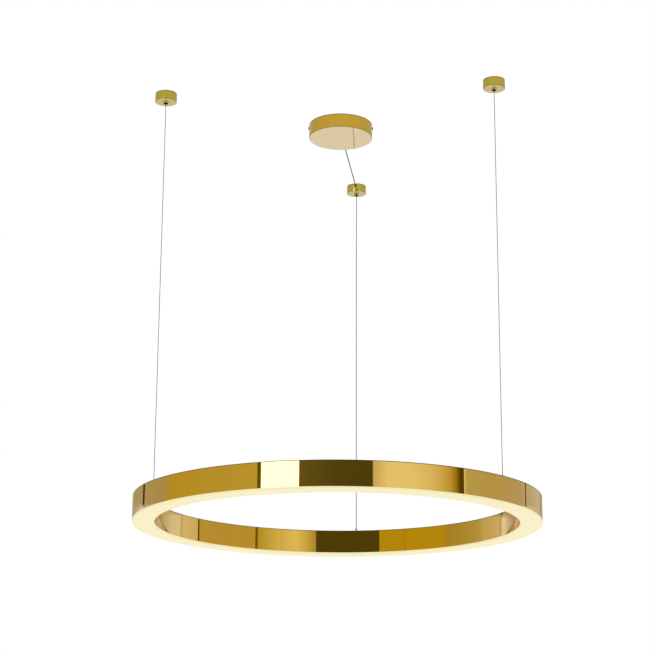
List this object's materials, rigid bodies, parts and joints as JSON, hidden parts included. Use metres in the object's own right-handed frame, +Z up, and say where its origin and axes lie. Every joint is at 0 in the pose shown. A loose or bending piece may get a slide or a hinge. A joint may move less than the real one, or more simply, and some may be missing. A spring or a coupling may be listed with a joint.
{
  "type": "ring chandelier",
  "caption": "Round ring pendant light: a slim polished gold ring with a glowing opal underside, hung level on thin wires from small ceiling caps and fed from a round ceiling canopy.",
  "frame": {"origin": "on the ceiling plane, on the ring's axis: the centre of the circle through the ceiling caps' fixing holes", "axes": "+Z up towards the ceiling, +Y towards the rear suspension line, which carries the power, +X to the right of a viewer who looks along +Y"},
  "size_m": [0.7999, 0.8, 0.8468],
  "materials": {
    "polished_gold": "polished warm gold plating, mirror bright with faint rolling lines",
    "opal_diffuser": "opal acrylic, satin, glowing warm white",
    "bare_aluminium": "bare rolled aluminium",
    "white_board": "white solder mask",
    "led_phosphor": "yellow phosphor in a clear lens",
    "white_moulding": "moulded nylon",
    "black_rubber": "matt black rubber",
    "cable_jacket": "clear jacket over tinned strands",
    "steel_wire": "bright stranded steel",
    "bright_steel": "nickel plated",
    "zinc_steel": "zinc plated"
  },
  "bodies": {
    "ceiling": {"cable_splice": "black_rubber", "cable_tail": "cable_jacket", "canopy_bracket": "zinc_steel", "canopy_cover": "polished_gold", "canopy_grommet": "black_rubber", "canopy_side_screws": "polished_gold", "ceiling_lead": "cable_jacket", "clamp_screws": "zinc_steel", "cord_clamp": "white_moulding", "driver_case": "white_moulding", "driver_input_lead": "cable_jacket", "driver_lid": "white_moulding", "driver_screws": "zinc_steel", "earth_screw": "bright_steel", "gripper_bodies": "polished_gold", "gripper_nuts": "zinc_steel", "left_cap_base": "zinc_steel", "left_cap_cover": "polished_gold", "left_gripper_spring": "zinc_steel", "mains_terminal_block": "white_moulding", "rear_cap_base": "zinc_steel", "rear_cap_cover": "polished_gold", "rear_cap_grommet": "black_rubber", "rear_gripper_spring": "zinc_steel", "right_cap_base": "zinc_steel", "right_cap_cover": "polished_gold", "right_gripper_spring": "zinc_steel", "terminal_screws": "bright_steel", "wire_tails": "steel_wire"},
    "rear_line": {"rear_suspension_cable": "cable_jacket"},
    "rear_end": {"rear_ferrule": "bright_steel"},
    "left_line": {"left_suspension_wire": "steel_wire"},
    "left_end": {"left_ferrule": "bright_steel"},
    "right_line": {"right_suspension_wire": "steel_wire"},
    "right_end": {"right_ferrule": "bright_steel"},
    "ring": {"ring_outer_band": "polished_gold", "ring_inner_band": "polished_gold", "ring_top_plate": "polished_gold", "ring_carrier_channel": "bare_aluminium", "ring_diffuser": "opal_diffuser", "led_boards": "white_board", "led_chips": "led_phosphor", "board_connectors": "white_moulding", "board_screws": "zinc_steel", "channel_studs": "zinc_steel", "channel_nuts": "zinc_steel", "hanger_sockets": "polished_gold", "hanger_nuts": "zinc_steel", "ring_terminal": "white_moulding", "ring_lead": "cable_jacket"},
    "rear_plunger": {"rear_gripper_plunger": "polished_gold", "rear_gripper_balls": "bright_steel"},
    "left_plunger": {"left_gripper_plunger": "polished_gold", "left_gripper_balls": "bright_steel"},
    "right_plunger": {"right_gripper_plunger": "polished_gold", "right_gripper_balls": "bright_steel"}
  },
  "joints": [
    {"name": "ring_sway", "type": "hinge", "parent": "ceiling", "child": "rear_line", "pos_m": [0, 0.37825, -0.0215], "axis": [1, 0, 0], "range_deg": [-8, 8]},
    {"name": "ring_height", "type": "slide", "parent": "rear_line", "child": "rear_end", "axis": [0, 0, 1], "range_m": [0, 0.4], "deforming": ["rear_suspension_cable"]},
    {"name": "ring_level", "type": "hinge", "parent": "rear_end", "child": "ring", "pos_m": [0, 0.37825, -0.7996], "axis": [1, 0, 0], "range_deg": [-8.2, 8.2]},
    {"name": "left_wire_sway", "type": "hinge", "parent": "ceiling", "child": "left_line", "pos_m": [-0.32757, -0.18912, -0.0215], "axis": [1, 0, 0], "range_deg": [-8.2, 8.2]},
    {"name": "left_end_lift", "type": "slide", "parent": "left_line", "child": "left_end", "axis": [0, 0, 1], "range_m": [0, 0.401], "deforming": ["left_suspension_wire"]},
    {"name": "right_wire_sway", "type": "hinge", "parent": "ceiling", "child": "right_line", "pos_m": [0.32757, -0.18912, -0.0215], "axis": [1, 0, 0], "range_deg": [-8.2, 8.2]},
    {"name": "right_end_lift", "type": "slide", "parent": "right_line", "child": "right_end", "axis": [0, 0, 1], "range_m": [0, 0.401], "deforming": ["right_suspension_wire"]},
    {"name": "rear_plunger_press", "type": "slide", "parent": "ceiling", "child": "rear_plunger", "axis": [0, 0, 1], "range_m": [0, 0.002], "stiffness_N_per_m": 400, "springref_m": -0.004, "deforming": ["rear_gripper_spring"]},
    {"name": "left_plunger_press", "type": "slide", "parent": "ceiling", "child": "left_plunger", "axis": [0, 0, 1], "range_m": [0, 0.002], "stiffness_N_per_m": 400, "springref_m": -0.004, "deforming": ["left_gripper_spring"]},
    {"name": "right_plunger_press", "type": "slide", "parent": "ceiling", "child": "right_plunger", "axis": [0, 0, 1], "range_m": [0, 0.002], "stiffness_N_per_m": 400, "springref_m": -0.004, "deforming": ["right_gripper_spring"]}
  ],
  "couplings": [
    {"joint": "ring_level", "follows": "ring_sway", "ratio": -1},
    {"joint": "left_wire_sway", "follows": "ring_sway", "ratio": 1},
    {"joint": "left_end_lift", "follows": "ring_height", "ratio": 1},
    {"joint": "right_wire_sway", "follows": "ring_sway", "ratio": 1},
    {"joint": "right_end_lift", "follows": "ring_height", "ratio": 1}
  ]
}
